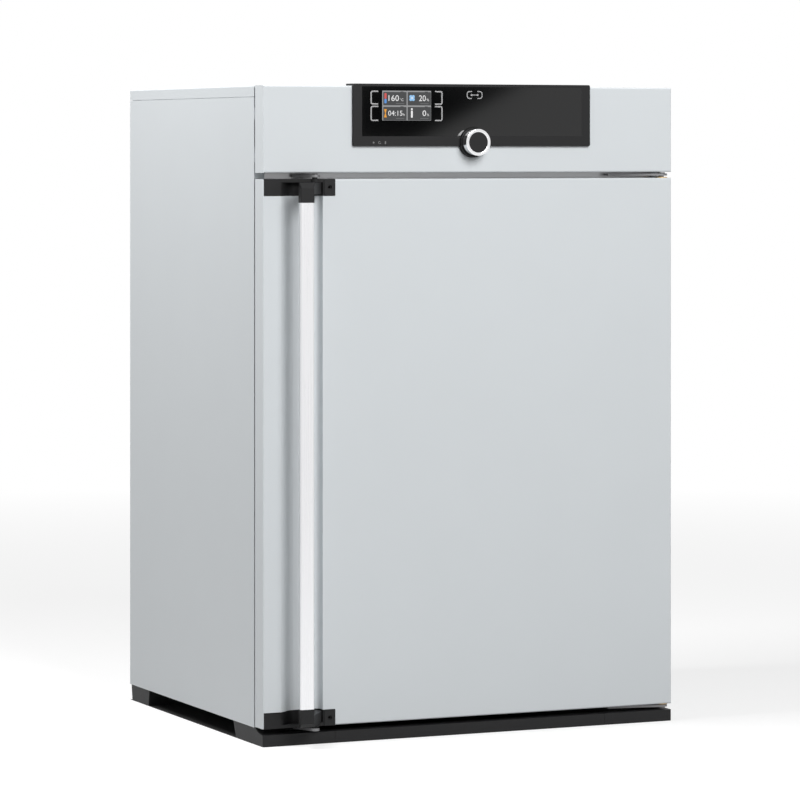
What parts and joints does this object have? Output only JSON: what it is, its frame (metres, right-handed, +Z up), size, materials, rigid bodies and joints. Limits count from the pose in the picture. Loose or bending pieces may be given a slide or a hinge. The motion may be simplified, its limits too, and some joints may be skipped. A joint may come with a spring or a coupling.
{
  "type": "laboratory drying oven",
  "caption": "Free-standing forced-air laboratory drying oven with a side-hung insulated door, bar handle, control panel with display and knob, and wire shelves.",
  "frame": {"origin": "on the floor, in the middle of the box that holds the cabinet and its handle", "axes": "+Z up, -Y towards the user in front of the door, +X to the user's right"},
  "size_m": [0.824, 0.74, 1.187],
  "materials": {
    "painted_grey": "satin powder coat",
    "stainless_satin": "satin brushed",
    "stainless_bright": "polished",
    "galvanised": "plain zinc",
    "black_plastic": "fine satin grain",
    "dark_plinth": "satin",
    "panel_glass": "gloss black",
    "display_face": "colour display",
    "seal_rubber": "matt silicone",
    "mineral_wool": "fibrous",
    "circuit_board": "solder mask",
    "brass_bush": "plain",
    "motor_paint": "dark enamel"
  },
  "bodies": {
    "cabinet": {"side_panel_left": "painted_grey", "side_panel_right": "painted_grey", "lid": "painted_grey", "rear_panel": "galvanised", "bottom_panel": "galvanised", "front_fascia": "painted_grey", "front_frame": "stainless_satin", "compartment_floor": "galvanised", "front_foot_left": "dark_plinth", "front_foot_right": "dark_plinth", "plinth_strip": "dark_plinth", "rear_foot_left": "dark_plinth", "rear_foot_right": "dark_plinth", "chamber_liner": "stainless_satin", "heating_elements": "stainless_satin", "insulation": "mineral_wool", "fan_baffle": "stainless_satin", "fan_motor": "motor_paint", "exhaust_duct": "stainless_satin", "damper_motor": "black_plastic", "temperature_probes": "stainless_bright", "hinge_plate_top": "stainless_satin", "hinge_plate_bottom": "stainless_satin", "hinge_pins": "stainless_bright", "latch_catches": "stainless_satin", "control_housing": "black_plastic", "control_glass": "panel_glass", "display_module": "display_face", "controller_board": "circuit_board", "power_unit": "motor_paint", "cooling_fan_frame": "black_plastic", "mains_inlet": "black_plastic", "fuse_caps": "black_plastic", "network_socket": "stainless_satin", "switch_frame": "black_plastic", "casing_screws": "stainless_bright"},
    "door": {"door_skin": "painted_grey", "door_inner_panel": "stainless_satin", "door_gasket": "seal_rubber", "door_insulation": "mineral_wool", "door_hinge_bushes": "brass_bush", "handle_bracket_top": "black_plastic", "handle_bracket_bottom": "black_plastic"},
    "handle": {"handle_bar": "stainless_satin", "handle_lever_top": "black_plastic", "handle_lever_bottom": "black_plastic", "latch_finger_top": "stainless_satin", "latch_finger_bottom": "stainless_satin"},
    "encoder": {"encoder_shaft": "stainless_bright"},
    "knob": {"knob_ring": "stainless_bright", "knob_core": "black_plastic"},
    "circulation_fan": {"fan_impeller": "stainless_satin", "fan_shaft": "stainless_bright"},
    "damper": {"damper_flap": "stainless_satin"},
    "shelf_low": {"shelf_lower": "stainless_bright"},
    "shelf_high": {"shelf_upper": "stainless_bright"},
    "mains_switch": {"switch_rocker": "black_plastic"},
    "cooling_fan": {"cooling_fan_rotor": "black_plastic"}
  },
  "joints": [
    {"name": "door_hinge", "type": "hinge", "parent": "cabinet", "child": "door", "pos_m": [0.4, -0.296, 0.52], "axis": [0, 0, 1], "range_deg": [0, 130]},
    {"name": "handle_turn", "type": "hinge", "parent": "door", "child": "handle", "pos_m": [-0.311, -0.312, 0.52], "axis": [0, 0, 1], "range_deg": [0, 60]},
    {"name": "knob_push", "type": "slide", "parent": "cabinet", "child": "encoder", "axis": [0, 1, 0], "range_m": [0, 0.0015], "stiffness_N_per_m": 800},
    {"name": "knob_turn", "type": "hinge", "parent": "encoder", "child": "knob", "pos_m": [0, -0.334, 1.081], "axis": [0, 1, 0], "continuous": true},
    {"name": "circulation_fan_spin", "type": "hinge", "parent": "cabinet", "child": "circulation_fan", "pos_m": [0, 0.2505, 0.52], "axis": [0, 1, 0], "continuous": true},
    {"name": "damper_turn", "type": "hinge", "parent": "cabinet", "child": "damper", "pos_m": [-0.18, 0.3005, 0.86], "axis": [0, 0, 1], "range_deg": [0, 90]},
    {"name": "shelf_low_slide", "type": "slide", "parent": "cabinet", "child": "shelf_low", "axis": [0, -1, 0], "range_m": [0, 0.2]},
    {"name": "shelf_high_slide", "type": "slide", "parent": "cabinet", "child": "shelf_high", "axis": [0, -1, 0], "range_m": [0, 0.2]},
    {"name": "mains_switch_rock", "type": "hinge", "parent": "cabinet", "child": "mains_switch", "pos_m": [0.285, 0.3545, 1.09], "axis": [1, 0, 0], "range_deg": [0, 16]},
    {"name": "cooling_fan_spin", "type": "hinge", "parent": "cabinet", "child": "cooling_fan", "pos_m": [-0.25, 0.3465, 1.09], "axis": [0, 1, 0], "continuous": true}
  ],
  "couplings": [
    {"joint": "shelf_low_slide", "follows": "door_hinge", "m_per_rad": 0.088},
    {"joint": "shelf_high_slide", "follows": "door_hinge", "m_per_rad": 0.088}
  ]
}
